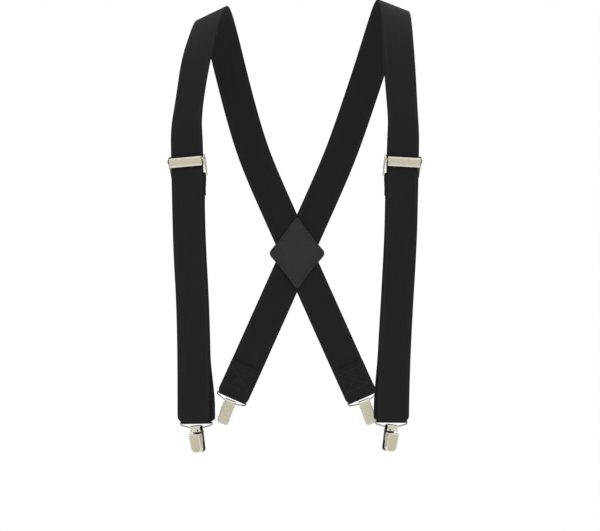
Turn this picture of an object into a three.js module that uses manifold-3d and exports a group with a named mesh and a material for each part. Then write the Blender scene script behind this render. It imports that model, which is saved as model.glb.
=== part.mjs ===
// Clip-on suspenders with an X back, shaped as they hang on a wearer's shoulders.
//
// Two elastic web straps run from the front waistband over the shoulders, cross between the shoulder
// blades inside a leather crosspatch, and end at the rear waistband. Each front strap passes through a
// lever adjuster, turns round the wire bail of its clip and comes back up behind itself to the
// adjuster's bar. Each rear end turns round its bail and is sewn to itself.
//
// Millimetres, +Z up. The wearer faces -Y. The origin lies midway between the shoulders, at the height
// of the shoulder tops. "left" and "right" are the -X and +X sides, as seen from the front.
import * as THREE from 'three';
import Module from 'manifold-3d';
import { mergeVertices } from 'three/addons/utils/BufferGeometryUtils.js';

const wasm = await Module();
wasm.setup();

// ---------------------------------------------------------------- driving dimensions
const GAP = 0.3; // clearance between neighbouring pieces
const WEB_WIDTH = 38; // elastic web, 1 1/2 inch
const WEB_THICK = 1.5;
const FOLD_WIDTH = 34.6; // the web is drawn in where it turns round a bail
const FOLD_FLAT = 3.6; // on either side of the fold's bottom it stays drawn in
const FOLD_TAPER = 4; // and beyond that it widens again over this length
const SHEET = 0.8; // sheet metal of the clips
const WIRE_R = 0.8; // bail wire
const FOLD_R = WIRE_R + GAP + WEB_THICK / 2; // radius of the web's mid-line round the wire
const SEWN_TAIL = 40; // sewn overlap at each rear end
const PIN_HOLE_PLAY = 0.3;

const degrees = THREE.MathUtils.degToRad;

const CLIP = {
  bailHalf: 18.4, // half width of the bail, mid-wire
  bailShoulder: -3.8, // where its sides start to slope inwards
  bailFootHalf: 8.6, // half width of its lower straight
  bailFoot: -6.4, // height of that straight below the upper one
  bodyDrop: -8.6, // height of the clip body's own origin below the upper one
  twist: degrees(12), // the clip lies flatter on the hip than its bail does
  roll: degrees(4), // its foot hangs inwards
  hood: { half: 5.8, deep: 2.6, rise: 1.6 }, // half width, and inner half depth and rise over the wire
  neckTip: { n: 4.6, v: -2.8, half: 7.2 }, // end of the neck that comes down in front
  bodyHalf: 6.8, // half width of the base plate and cover
  coverTop: -4.7,
  foot: -25.6, // lower end of the base plate and cover
  earHalf: 5.3, // middle of each base ear
  hinge: { n: 4.9, v: -7, r: 0.8 }, // cover's pin
  knuckle: { n: 1.9, v: -8.2, r: 0.6 }, // jaw's pin
  jaw: { half: 4.6, back: 2.5, foot: -23.9 },
  pad: { half: 4.5, top: -15.8, foot: -22.2 },
  basePad: { back: -2.3, face: -0.9 },
  jawPad: { back: 2.2, face: 1.2 }, // as worn, the pads hold about 2 mm of waistband
};

const ADJUSTER = {
  height: -177, // world z of its middle
  roll: { left: degrees(4), right: degrees(2) }, // its inner end hangs higher
  rollCentre: -4.75, // height of the point about which it rolls
  earInner: 20.4, // inner face of each side ear
  earSheet: 0.8,
  bar: { n: -3.8, v: -15.5, r: 0.8 }, // bar that holds the web's sewn end
  hinge: { n: 3.6, v: 2.2, r: 0.7 },
  leverHalf: 19.3,
  loopTail: 22, // sewn overlap below the bar
};

const CROSSPATCH = { halfWidth: 34, halfHeight: 44, tipRound: 5, scoop: 0.475, thick: 1.6 };

// Control points of each strap's mid-line, from the front clip over the shoulder to the rear clip:
// x, y, z, then turn (the strap faces outwards by this angle) and tip (its inner edge is raised).
const ROUTES = {
  left: [
    [-112.2, -106, -464, 17, 0], [-112.2, -107.5, -444.6, 17, 0], [-112.0, -111.5, -390, 17, 0],
    [-113.2, -116.8, -330, 18, 0], [-115.6, -120.6, -290, 18, 0], [-117.0, -122.1, -255, 19, 0],
    [-117.7, -123.6, -220, 19, 0], [-118.4, -125.1, -185, 19, 0], [-119.1, -126.6, -150, 19, 0],
    [-119.4, -127.24, -135, 28, 0], [-116.5, -124, -112, 33, 0], [-113.3, -117, -88, 32, 1],
    [-109.8, -105, -64, 28, 4], [-105.6, -86, -42, 27, 10], [-100.6, -60, -20, 26, 17],
    [-96.6, -28, -4.5, 12, 24], [-93.0, 4, -1, 0, 27], [-89.5, 38, -9, -8, 24],
    [-84.0, 68, -30, -12, 17], [-76.5, 92, -62, -12, 9], [-66.0, 108, -104, -8, 3],
    [-52.8, 115.5, -150, -3, 0], [-38.0, 113.7, -187.4, 0, 0], [-18.0, 109.9, -232, 0, 0],
    [2.0, 106.1, -276.6, 0, 0], [22.0, 102.3, -321.2, 0, 0], [42.0, 98.5, -365.8, 0, 0],
    [62.0, 94.7, -410.4, -3, 0], [78.0, 91.7, -446, -6, 0],
  ],
  right: [
    [108.4, -106, -462.8, 18, 0], [108.4, -107.5, -443.4, 18, 0], [109.8, -111.5, -390, 19, 0],
    [113.0, -116.8, -330, 20, 0], [115.2, -120.6, -290, 19, 0], [116.9, -122.1, -255, 19, 0],
    [117.6, -123.6, -220, 19, 0], [118.3, -125.1, -185, 19, 0], [119.0, -126.6, -150, 19, 0],
    [119.3, -127.24, -135, 27, 0], [117.8, -124, -112, 26, 0], [116.3, -116, -85, 22, 1],
    [115.0, -103, -58, 21, 3], [114.4, -83, -34, 22, 8], [114.0, -57, -12, 20, 14],
    [113.2, -27, 4, 10, 20], [110.8, 4, 8.5, 0, 22], [106.5, 38, 0, -8, 20],
    [99.5, 68, -22, -12, 15], [89.0, 92, -56, -12, 8], [74.5, 109, -100, -8, 3],
    [57.5, 117.5, -150, -3, 0], [42.0, 115.7, -187.4, 0, 0], [22.0, 111.9, -232, 0, 0],
    [2.0, 108.1, -276.6, 0, 0], [-18.0, 104.3, -321.2, 0, 0], [-38.0, 100.5, -365.8, 0, 0],
    [-58.0, 96.7, -410.4, -3, 0], [-74.0, 93.7, -446, -6, 0],
  ],
};
const CROSSING = new THREE.Vector3(2, 107.1, -276.6); // mid-way between the two crossing straps
const CROSSING_SLOPE = Math.atan2(3.8, 44.6); // the back leans away from the wearer's feet
const SKEW = { left: 4.8, right: 2.4 }; // how far each front web's second layer peeks out inwards
const FOLD_TILT = { left: degrees(3), right: degrees(3) }; // each front fold's inner end is raised
const FOLD_END = 0.2; // spline value by which the web is straight again above a front fold

// ---------------------------------------------------------------- materials
const finish = (color, roughness, metalness) => () =>
  new THREE.MeshStandardMaterial({ color, roughness, metalness });
const web = finish(0x222224, 0.9, 0);
const leather = finish(0x1c1a19, 0.6, 0);
const nickel = finish(0xc8c1a8, 0.28, 1);
const steel = finish(0xb9b6ac, 0.35, 1);
const grip = finish(0x1b1b1b, 0.7, 0);

// ---------------------------------------------------------------- solids
const group = new THREE.Group();

function addPiece(parent, name, geometry, material) {
  const mesh = new THREE.Mesh(geometry, material());
  mesh.name = name;
  parent.add(mesh);
}

// A closed three.js geometry as a manifold-3d solid, and back.
function toSolid(geometry) {
  const bare = geometry.clone();
  bare.deleteAttribute('normal');
  bare.deleteAttribute('uv');
  const merged = mergeVertices(bare, 1e-4);
  return new wasm.Manifold(new wasm.Mesh({
    numProp: 3,
    vertProperties: new Float32Array(merged.attributes.position.array),
    triVerts: new Uint32Array(merged.index.array),
  }));
}

function toGeometry(solid) {
  const mesh = solid.getMesh();
  const geometry = new THREE.BufferGeometry();
  geometry.setAttribute('position', new THREE.BufferAttribute(mesh.vertProperties, 3));
  geometry.setIndex(new THREE.BufferAttribute(mesh.triVerts, 1));
  geometry.computeVertexNormals();
  return geometry;
}

// Local axes of clips and adjusters: X = u across the strap, Y = v up it, Z = n away from the wearer.
// A prism across the strap has its outline in (n, v) and runs from u = from to u = to.
function acrossPrism(outline, from, to, curveSegments = 6) {
  const shape = outline instanceof THREE.Shape ? outline : new THREE.Shape(outline.map(vector2));
  const prism = new THREE.ExtrudeGeometry(shape, { depth: to - from, bevelEnabled: false, curveSegments });
  return prism.rotateY(-Math.PI / 2).translate(to, 0, 0);
}

// A prism through the strap has its outline in (u, v) and runs from n = from to n = to.
function throughPrism(shape, from, to, curveSegments = 6) {
  const prism = new THREE.ExtrudeGeometry(shape, { depth: to - from, bevelEnabled: false, curveSegments });
  return prism.translate(0, 0, from);
}

function vector2([x, y]) {
  return new THREE.Vector2(x, y);
}

// A round bar across the strap, centred on (n, v).
function acrossBar({ n, v, r }, from, to, sides = 12) {
  const bar = new THREE.CylinderGeometry(r, r, to - from, sides);
  return bar.rotateZ(Math.PI / 2).translate((from + to) / 2, v, n);
}

function box(uRange, vRange, nRange) {
  const [[u0, u1], [v0, v1], [n0, n1]] = [uRange, vRange, nRange];
  const block = new THREE.BoxGeometry(u1 - u0, v1 - v0, n1 - n0);
  return block.translate((u0 + u1) / 2, (v0 + v1) / 2, (n0 + n1) / 2);
}

// ---------------------------------------------------------------- strap routes
// A clamped cubic B-spline through the control points, by de Boor's steps.
function bspline(points, u) {
  const degree = 3;
  const last = points.length - degree;
  const span = Math.min(Math.floor(u), last - 1) + degree;
  const knot = (i) => Math.min(Math.max(i - degree, 0), last);
  const d = points.slice(span - degree, span + 1).map((p) => [...p]);
  for (let r = 1; r <= degree; r += 1) {
    for (let j = degree; j >= r; j -= 1) {
      const i = j + span - degree;
      const a = (u - knot(i)) / (knot(i + degree - r + 1) - knot(i));
      d[j] = d[j].map((value, k) => (1 - a) * d[j - 1][k] + a * value);
    }
  }
  return d[degree];
}

// The place, tangent, facing normal and inward direction of a strap at spline value u.
function station(side, u) {
  const points = ROUTES[side];
  const step = 1e-3;
  const last = points.length - 3;
  const [x, y, z, turnDeg, tipDeg] = bspline(points, u);
  const ahead = new THREE.Vector3(...bspline(points, Math.min(u + step, last)));
  const behind = new THREE.Vector3(...bspline(points, Math.max(u - step, 0)));
  const tangent = ahead.sub(behind).normalize();
  const turn = degrees(turnDeg);
  const tip = degrees(tipDeg);
  const inwards = side === 'left' ? 1 : -1;
  const inner = new THREE.Vector3(
    inwards * Math.cos(turn) * Math.cos(tip),
    -Math.sin(turn) * Math.cos(tip),
    Math.sin(tip),
  );
  inner.addScaledVector(tangent, -inner.dot(tangent)).normalize();
  const normal = new THREE.Vector3().crossVectors(inner, tangent).multiplyScalar(inwards);
  return { place: new THREE.Vector3(x, y, z), tangent, inner, normal };
}

// The spline value at which a strap's front passes a given height.
function valueAtHeight(side, height) {
  let low = 0;
  let high = 10;
  for (let i = 0; i < 40; i += 1) {
    const middle = (low + high) / 2;
    if (bspline(ROUTES[side], middle)[2] < height) low = middle;
    else high = middle;
  }
  return (low + high) / 2;
}

const ease = (t) => t * t * (3 - 2 * t);
const clamp = THREE.MathUtils.clamp;

// 0 up to value a, 1 from value b on, with an eased step between them.
const easedStep = (value, a, b) => ease(clamp((value - a) / (b - a), 0, 1));

// Evenly spaced values from a to b.
function spread(a, b, steps) {
  return Array.from({ length: steps + 1 }, (_, i) => a + ((b - a) * i) / steps);
}

// Frames of the web at these spline values, offset along the normal and inwards. Its outer face looks
// away from the wearer where facing is 1, and at the wearer where it is -1.
function run(side, values, { offset = () => 0, skew = () => 0, facing = 1 } = {}) {
  return values.map((u) => {
    const { place, tangent, normal, inner } = station(side, u);
    place.addScaledVector(normal, offset(u));
    place.addScaledVector(inner, skew(u));
    const across = normal.clone().cross(tangent).applyAxisAngle(normal, foldTilt(side, u));
    return { place, normal: normal.clone().multiplyScalar(facing), across };
  });
}

// A front fold lies askew on its bail: it is tilted, and stands half of its layers' skew inwards.
const nearFold = (u) => 1 - easedStep(u, 0, FOLD_END);
const foldTilt = (side, u) => FOLD_TILT[side] * (side === 'left' ? 1 : -1) * nearFold(u);

// Frames of the web round a bar, from start to end degrees: 0 faces away from the wearer and 90 is on
// the bar's far side, towards beyond, so that the web turns round it with its outer face outwards.
function turnRound({ centre, normal, beyond, across, radius }, start, end, steps) {
  return spread(degrees(start), degrees(end), steps).map((angle) => {
    const outwards = normal.clone().multiplyScalar(Math.cos(angle));
    outwards.addScaledVector(beyond, Math.sin(angle));
    return { place: centre.clone().addScaledVector(outwards, radius), normal: outwards, across };
  });
}

// Width of the web at a distance along it from the bottom of a fold.
function webWidth(fromFold) {
  const widened = clamp((fromFold - FOLD_FLAT) / FOLD_TAPER, 0, 1);
  return FOLD_WIDTH + (WEB_WIDTH - FOLD_WIDTH) * Math.sin((widened * Math.PI) / 2);
}

// Flat web swept through frames: a long box whose cross-sections are moved onto them. foldAt gives the
// indices of frames at the bottom of a fold, and lead the web's length from a fold to its first frame.
function ribbon(frames, foldAt, lead = 0) {
  const count = frames.length;
  const distance = [0];
  for (let i = 1; i < count; i += 1) {
    distance.push(distance[i - 1] + frames[i].place.distanceTo(frames[i - 1].place));
  }
  const width = distance.map((d) => {
    const fromFold = Math.min(...foldAt.map((i) => Math.abs(d - distance[i])));
    return webWidth(fromFold + lead);
  });
  const geometry = new THREE.BoxGeometry(1, WEB_THICK, count - 1, 1, 1, count - 1);
  const position = geometry.attributes.position;
  for (let k = 0; k < position.count; k += 1) {
    const i = Math.round(position.getZ(k) + (count - 1) / 2);
    const { place, normal, across } = frames[i];
    const at = place.clone();
    at.addScaledVector(across, position.getX(k) * width[i]);
    at.addScaledVector(normal, position.getY(k));
    position.setXYZ(k, at.x, at.y, at.z);
  }
  return geometry;
}

const lastValue = (side) => ROUTES[side].length - 3;

// The spline value at which this length of strap is left before its rear end.
function valueBeforeRear(side, length) {
  const step = 0.01;
  let u = lastValue(side);
  let left = length;
  let place = station(side, u).place;
  while (left > 0) {
    u -= step;
    const next = station(side, u).place;
    left -= next.distanceTo(place);
    place = next;
  }
  return u;
}

// The bail's axis at one end of a strap, and the local axes of the clip that hangs there.
function clipSeat(side, end) {
  const front = end === 'front';
  const { place, tangent, normal, inner } = station(side, front ? 0 : lastValue(side));
  const up = tangent.clone().multiplyScalar(front ? 1 : -1);
  const origin = place.clone().addScaledVector(normal, -FOLD_R);
  if (front) {
    up.applyAxisAngle(normal, foldTilt(side, 0));
    origin.addScaledVector(inner, SKEW[side] / 2);
  }
  return { origin, up, normal, across: up.clone().cross(normal) };
}

function adjusterSeat(side) {
  const { roll, rollCentre, height } = ADJUSTER;
  const { place, tangent, normal } = station(side, valueAtHeight(side, height));
  const turn = side === 'left' ? roll.left : -roll.right;
  const up = tangent.clone().applyAxisAngle(normal, turn);
  const origin = place.clone().addScaledVector(tangent, rollCentre).addScaledVector(up, -rollCentre);
  return { origin, up, normal, across: up.clone().cross(normal) };
}

function seatedGroup({ origin, across, up, normal }) {
  const seated = new THREE.Group();
  const matrix = new THREE.Matrix4().makeBasis(across, up, normal).setPosition(origin);
  seated.applyMatrix4(matrix);
  group.add(seated);
  return seated;
}

// ---------------------------------------------------------------- webbing
function makeStrap(side) {
  const last = lastValue(side);
  const front = clipSeat(side, 'front');
  const rear = clipSeat(side, 'rear');
  const steps = 8;
  const fold = ({ origin, normal, up }, across) => (
    { centre: origin, normal, beyond: up.clone().negate(), across, radius: FOLD_R }
  );
  const frontFold = turnRound(fold(front, front.across.clone().negate()), 180, 0, steps);
  const rearFold = turnRound(fold(rear, rear.across), 0, 180, steps);
  const skew = (u) => (SKEW[side] / 2) * nearFold(u);
  const body = [
    ...run(side, spread(0.03, FOLD_END, 5), { skew }),
    ...run(side, [0.35, 0.5]),
    ...run(side, spread(0.75, last - 0.75, 3 * (last - 2))),
    ...run(side, spread(last - 0.5, last - 0.05, 3)),
  ];
  // the sewn tail leaves the fold and closes up to the strap
  const tailEnd = valueBeforeRear(side, SEWN_TAIL);
  const closed = -WEB_THICK - 2 * GAP;
  const offset = (u) => -2 * FOLD_R + (closed + 2 * FOLD_R) * easedStep(last - u, 0, (last - tailEnd) / 2);
  const tail = run(side, spread(last - 0.05, tailEnd, 6), { offset, facing: -1 });
  const frames = [...frontFold, ...body, ...rearFold, ...tail];
  const foldAt = [steps / 2, frontFold.length + body.length + steps / 2];
  addPiece(group, `${side}_strap`, ribbon(frames, foldAt), web);
}

// The front web's second layer: from the fold up behind the first to the adjuster's bar, round it and
// down again as far as it is sewn.
function makeReturnLayer(side) {
  const { bar, height, loopTail } = ADJUSTER;
  const seat = adjusterSeat(side);
  const barCentre = seat.origin.clone();
  barCentre.addScaledVector(seat.normal, bar.n).addScaledVector(seat.up, bar.v);
  const radius = bar.r + GAP + WEB_THICK / 2;
  const reach = bar.n + radius; // offset of the layer where it meets the adjuster
  const start = 0.06;
  const clearOfLoop = 3; // the bar is rolled, so the layer starts to turn this far below it
  const top = valueAtHeight(side, barCentre.z - clearOfLoop);
  const below = station(side, top);
  const aside = barCentre.clone().sub(below.place).dot(below.inner); // the bar hangs off the mid-line
  const closeUp = 2; // spline value by which the layer has closed up to the first
  const offset = (u) => -2 * FOLD_R + (2 * FOLD_R + reach) * easedStep(u, start, closeUp);
  const skew = (u) => SKEW[side] * (1 - nearFold(u) / 2) * (1 - easedStep(u, 0.25, 1.1))
    + aside * easedStep(u, top - 1, top);
  const rise = run(side, [...spread(start, FOLD_END, 4), ...spread(0.35, top, 29)], { offset, skew });
  const turn = { centre: barCentre, normal: seat.normal, beyond: seat.up, radius };
  const loop = turnRound({ ...turn, across: seat.normal.clone().cross(seat.up) }, 15, 165, 6);
  const tailEnd = valueAtHeight(side, height + bar.v - loopTail);
  const far = bar.n - radius; // offset of the tail where it leaves the bar
  const closed = reach - WEB_THICK - GAP;
  const back = (u) => far + (closed - far) * easedStep(top - u, 0, 0.65 * (top - tailEnd));
  const tail = run(side, spread(top, tailEnd, 5), { offset: back, skew: () => aside, facing: -1 });
  const lead = (FOLD_R * Math.PI) / 2 + GAP;
  addPiece(group, `${side}_return_layer`, ribbon([...rise, ...loop, ...tail], [0], lead), web);
}

// ---------------------------------------------------------------- crosspatch
// A lozenge with scooped sides and rounded tips.
function crosspatchShape() {
  const { halfWidth, halfHeight, tipRound, scoop } = CROSSPATCH;
  const tips = [[halfWidth, 0], [0, halfHeight], [-halfWidth, 0], [0, -halfHeight]].map(vector2);
  const along = tipRound / tips[0].distanceTo(tips[1]);
  const shape = new THREE.Shape();
  shape.moveTo(...tips[0].clone().lerp(tips[1], along));
  tips.forEach((tip, i) => {
    const next = tips[(i + 1) % 4];
    const afterNext = tips[(i + 2) % 4];
    const middle = tip.clone().add(next).multiplyScalar(scoop);
    shape.quadraticCurveTo(middle.x, middle.y, ...next.clone().lerp(tip, along));
    shape.quadraticCurveTo(next.x, next.y, ...next.clone().lerp(afterNext, along));
  });
  return shape;
}

// Two leaves of leather on either side of the crossing, sewn through both straps.
function makeCrosspatch() {
  const normal = new THREE.Vector3(0, Math.cos(CROSSING_SLOPE), -Math.sin(CROSSING_SLOPE));
  const up = new THREE.Vector3(0, Math.sin(CROSSING_SLOPE), Math.cos(CROSSING_SLOPE));
  const patch = seatedGroup({ origin: CROSSING, across: up.clone().cross(normal), up, normal });
  const halfStack = WEB_THICK + 2.5 * GAP; // half of the two crossing straps, with room
  const shape = crosspatchShape();
  const leaf = (from, to) => throughPrism(shape, from, to, 5);
  addPiece(patch, 'crosspatch_outer', leaf(halfStack, halfStack + CROSSPATCH.thick), leather);
  addPiece(patch, 'crosspatch_inner', leaf(-halfStack - CROSSPATCH.thick, -halfStack), leather);
}

// ---------------------------------------------------------------- clips
// A closed wire loop: a straight top in the web's fold, short sides, slopes and a straight foot.
function bailGeometry() {
  const { bailHalf, bailShoulder, bailFootHalf, bailFoot } = CLIP;
  const corners = [
    [-bailHalf, 0], [-bailHalf, bailShoulder], [-bailFootHalf, bailFoot],
    [bailFootHalf, bailFoot], [bailHalf, bailShoulder], [bailHalf, 0],
  ].map(([u, v]) => new THREE.Vector3(u, v, 0));
  const cornerReach = 1.6;
  const path = new THREE.CurvePath();
  const towards = (from, to) => from.clone().add(to.clone().sub(from).setLength(cornerReach));
  corners.forEach((corner, i) => {
    const before = corners[(i + 5) % 6];
    const after = corners[(i + 1) % 6];
    path.add(new THREE.QuadraticBezierCurve3(towards(corner, before), corner, towards(corner, after)));
    path.add(new THREE.LineCurve3(towards(corner, after), towards(after, corner)));
  });
  return new THREE.TubeGeometry(path, 56, WIRE_R, 6, true);
}

// An outline in (u, v), open at the top of a plate and rounded at its lower corners.
function roundedEnd(half, top, foot, radius) {
  const shape = new THREE.Shape();
  shape.moveTo(-half, top);
  shape.lineTo(-half, foot + radius);
  shape.quadraticCurveTo(-half, foot, -half + radius, foot);
  shape.lineTo(half - radius, foot);
  shape.quadraticCurveTo(half, foot, half, foot + radius);
  shape.lineTo(half, top);
  shape.closePath();
  return shape;
}

// Base: one stamping, a back plate that turns over the bail's foot in a hood and comes down in front as
// a slotted neck, with two ears that carry both pins.
function baseGeometry() {
  const { hood, bailFoot, bodyDrop, neckTip, foot, bodyHalf, earHalf, hinge, knuckle } = CLIP;
  const wire = bailFoot - bodyDrop;
  const outer = { deep: hood.deep + SHEET, rise: hood.rise + SHEET };
  const profile = new THREE.Shape();
  profile.moveTo(-outer.deep, foot);
  profile.lineTo(-hood.deep, foot);
  profile.lineTo(-hood.deep, wire);
  profile.absellipse(0, wire, hood.deep, hood.rise, Math.PI, 0, true);
  profile.lineTo(neckTip.n - SHEET, neckTip.v);
  profile.lineTo(neckTip.n, neckTip.v);
  profile.lineTo(outer.deep, wire);
  profile.absellipse(0, wire, outer.deep, outer.rise, 0, Math.PI, false);
  profile.closePath();
  const footCut = 3;
  const neckTop = -0.2;
  const rightSide = [
    [bodyHalf - footCut, foot], [bodyHalf, foot + footCut], [bodyHalf, CLIP.coverTop],
    [neckTip.half, neckTip.v], [hood.half, neckTop], [hood.half, wire + outer.rise + 1],
  ];
  const leftSide = rightSide.map(([u, v]) => [-u, v]).reverse();
  const outline = new THREE.Shape([...rightSide, ...leftSide].map(vector2));
  const deep = bodyHalf + 1;
  let base = toSolid(acrossPrism(profile, -deep, deep, 8));
  base = base.intersect(toSolid(throughPrism(outline, -deep, deep)));

  const ear = new THREE.Shape();
  const rimR = 1.6;
  const inPlate = -hood.deep - SHEET / 2;
  ear.moveTo(inPlate, -14.5);
  ear.lineTo(knuckle.n, -10.8);
  ear.absarc(hinge.n, hinge.v, rimR, -Math.PI / 2, Math.PI / 2, false);
  ear.lineTo(inPlate, -6);
  ear.closePath();
  const slot = { inner: 2.4, outer: 4.4, top: -0.4, foot: -2.1 };
  for (const sign of [-1, 1]) {
    const middle = sign * earHalf;
    base = base.add(toSolid(acrossPrism(ear, middle - SHEET / 2, middle + SHEET / 2, 5)));
    const sides = [sign * slot.inner, sign * slot.outer].sort((a, b) => a - b);
    base = base.subtract(toSolid(box(sides, [slot.foot, slot.top], [hood.deep - 1, deep])));
  }
  for (const { n, v, r } of [hinge, knuckle]) {
    const bore = acrossBar({ n, v, r: r + PIN_HOLE_PLAY }, -bodyHalf, bodyHalf, 10);
    base = base.subtract(toSolid(bore));
  }
  return toGeometry(base);
}

// Cover: a wedge-shaped lever, open at the back and top, with a tongue that bears on the jaw.
function coverGeometry() {
  const { bodyHalf, coverTop, foot, hinge } = CLIP;
  const front = { top: 8, foot: 5.6 };
  const footRound = 5.5;
  const deep = front.top + 1;
  const outerSide = [
    [front.top, coverTop], [1, coverTop - 0.6], [1.5, foot + 1.2], [2.2, foot], [front.foot, foot],
  ];
  const innerSide = [
    [front.top - SHEET, coverTop + 1], [-1, coverTop + 1],
    [-1, foot + SHEET], [front.foot - SHEET, foot + SHEET],
  ];
  const walls = (side, half, top, lower, radius) => {
    const outline = roundedEnd(half, top, lower, radius);
    return toSolid(acrossPrism(side, -half, half)).intersect(toSolid(throughPrism(outline, -2, deep, 5)));
  };
  const outer = walls(outerSide, bodyHalf, coverTop + 1, foot, footRound);
  const inner = walls(innerSide, bodyHalf - SHEET, coverTop + 2, foot + SHEET, footRound - SHEET);
  const bore = acrossBar({ ...hinge, r: hinge.r + PIN_HOLE_PLAY }, -bodyHalf - 1, bodyHalf + 1, 10);
  const tongue = box([-4, 4], [-10.6, -9.8], [3.7, 6.8]);
  return toGeometry(outer.subtract(inner).subtract(toSolid(bore)).add(toSolid(tongue)));
}

// Jaw: a plate with rounded lower corners, rolled round its pin at the top.
function jawGeometry() {
  const { knuckle, jaw } = CLIP;
  const rollR = 1.6;
  const footRound = 3;
  const outline = roundedEnd(jaw.half, knuckle.v, jaw.foot, footRound);
  const plate = throughPrism(outline, jaw.back, jaw.back + SHEET);
  const roll = acrossBar({ ...knuckle, r: rollR }, -jaw.half, jaw.half, 12);
  const bore = acrossBar({ ...knuckle, r: knuckle.r + PIN_HOLE_PLAY }, -jaw.half - 1, jaw.half + 1, 10);
  return toGeometry(toSolid(plate).add(toSolid(roll)).subtract(toSolid(bore)));
}

// Grip pad: a block with a flat land above and teeth below, facing towards the other pad.
function padGeometry({ back, face }) {
  const { half, top, foot } = CLIP.pad;
  const teeth = 4;
  const pitch = 1;
  const depth = (face - back) * 0.25;
  const outline = [[back, foot], [back, top], [face, top]];
  const firstTooth = foot + teeth * pitch;
  for (let i = 0; i < teeth; i += 1) {
    outline.push([face, firstTooth - i * pitch], [face - depth, firstTooth - (i + 0.5) * pitch]);
  }
  outline.push([face, foot]);
  return acrossPrism(face > back ? outline.reverse() : outline, -half, half);
}

// Leaf spring: a U that pushes the jaw away from the base plate.
function springGeometry() {
  const centre = { n: -0.05, v: -11.9 };
  const outerR = 2.25;
  const innerR = 1.85;
  const foot = -15.3;
  const half = 3;
  const leaf = new THREE.Shape();
  leaf.moveTo(centre.n + outerR, foot);
  leaf.absarc(centre.n, centre.v, outerR, 0, Math.PI, false);
  leaf.lineTo(centre.n - outerR, foot);
  leaf.lineTo(centre.n - innerR, foot);
  leaf.absarc(centre.n, centre.v, innerR, Math.PI, 0, true);
  leaf.lineTo(centre.n + innerR, foot);
  leaf.closePath();
  return acrossPrism(leaf, -half, half, 5);
}

// The straps cross, so each one's rear clip hangs on the other side.
const opposite = { left: 'right', right: 'left' };

function makeClip(side, end) {
  const { hinge, knuckle, bodyHalf, earHalf, bodyDrop, twist, roll, basePad, jawPad } = CLIP;
  const name = `${end}_${end === 'front' ? side : opposite[side]}_clip`;
  const seat = clipSeat(side, end);
  const bail = seatedGroup(seat);
  addPiece(bail, `${name}_bail`, bailGeometry(), steel);
  const outwards = Math.sign(seat.origin.x) * Math.sign(seat.across.x);
  const body = new THREE.Group();
  body.position.set(0, bodyDrop, 0);
  body.rotation.set(0, outwards * twist, -outwards * roll);
  bail.add(body);
  addPiece(body, `${name}_base`, baseGeometry(), nickel);
  addPiece(body, `${name}_cover`, coverGeometry(), nickel);
  addPiece(body, `${name}_cover_pin`, acrossBar(hinge, -bodyHalf - 0.4, bodyHalf + 0.4), steel);
  addPiece(body, `${name}_jaw`, jawGeometry(), nickel);
  addPiece(body, `${name}_jaw_pin`, acrossBar(knuckle, -earHalf - 0.5, earHalf + 0.5, 10), steel);
  addPiece(body, `${name}_base_pad`, padGeometry(basePad), grip);
  addPiece(body, `${name}_jaw_pad`, padGeometry(jawPad), grip);
  addPiece(body, `${name}_spring`, springGeometry(), steel);
}

// ---------------------------------------------------------------- adjusters
// Frame: a strip across the top, a bar across the foot and two ears that join them.
function adjusterFrameGeometry() {
  const { earInner, earSheet, bar, hinge } = ADJUSTER;
  const earOuter = earInner + earSheet;
  const rimR = 1.6;
  const strip = { v: [-1, 7], n: [-2.2, -1.3] };
  const earBack = bar.n - 0.9;
  const earFoot = bar.v - 1;
  const ear = new THREE.Shape();
  ear.moveTo(strip.n[0], strip.v[1]);
  ear.lineTo(earBack, -7);
  ear.lineTo(earBack, earFoot);
  ear.lineTo(-1.6, earFoot);
  ear.lineTo(2.6, -3.2);
  ear.lineTo(hinge.n + rimR, hinge.v - 1);
  ear.absarc(hinge.n, hinge.v, rimR, 0, Math.PI / 2, false);
  ear.lineTo(1, strip.v[1]);
  ear.closePath();
  let frame = toSolid(box([-earOuter, earOuter], strip.v, strip.n));
  frame = frame.add(toSolid(acrossBar(bar, -earOuter, earOuter, 10)));
  for (const from of [-earOuter, earInner]) {
    frame = frame.add(toSolid(acrossPrism(ear, from, from + earSheet, 4)));
  }
  const bore = acrossBar({ ...hinge, r: hinge.r + PIN_HOLE_PLAY }, -earOuter - 1, earOuter + 1, 10);
  return toGeometry(frame.subtract(toSolid(bore)));
}

// Lever: a flat bar whose inner rib bites on the web until its lower edge is lifted.
function adjusterLeverGeometry() {
  const { leverHalf, hinge } = ADJUSTER;
  const plate = { v: [-5.3, 5.1], n: [4.2, 5.1] };
  const rib = { half: leverHalf - 1.4, v: [0.8, 1.6], n: [1.1, 4.4] };
  const lug = { r: 1.5, wide: 0.9 };
  let lever = toSolid(box([-leverHalf, leverHalf], plate.v, plate.n));
  lever = lever.add(toSolid(box([-rib.half, rib.half], rib.v, rib.n)));
  const play = { ...hinge, r: hinge.r + PIN_HOLE_PLAY };
  for (const from of [-leverHalf, leverHalf - lug.wide]) {
    lever = lever.add(toSolid(acrossBar({ ...hinge, r: lug.r }, from, from + lug.wide)));
  }
  for (const from of [-leverHalf - 1, leverHalf - lug.wide]) {
    lever = lever.subtract(toSolid(acrossBar(play, from, from + lug.wide + 1, 10)));
  }
  return toGeometry(lever);
}

function rivetGeometry(sign) {
  const { hinge, leverHalf, earInner, earSheet } = ADJUSTER;
  const headAt = earInner + earSheet + GAP;
  const head = { r: 1.2, wide: 0.5 };
  const shank = acrossBar(hinge, leverHalf - 0.8, headAt + 0.1);
  const rivet = toSolid(shank).add(toSolid(acrossBar({ ...hinge, r: head.r }, headAt, headAt + head.wide)));
  return toGeometry(sign > 0 ? rivet : rivet.rotate([0, 180, 0]).translate([0, 0, 2 * hinge.n]));
}

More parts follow.
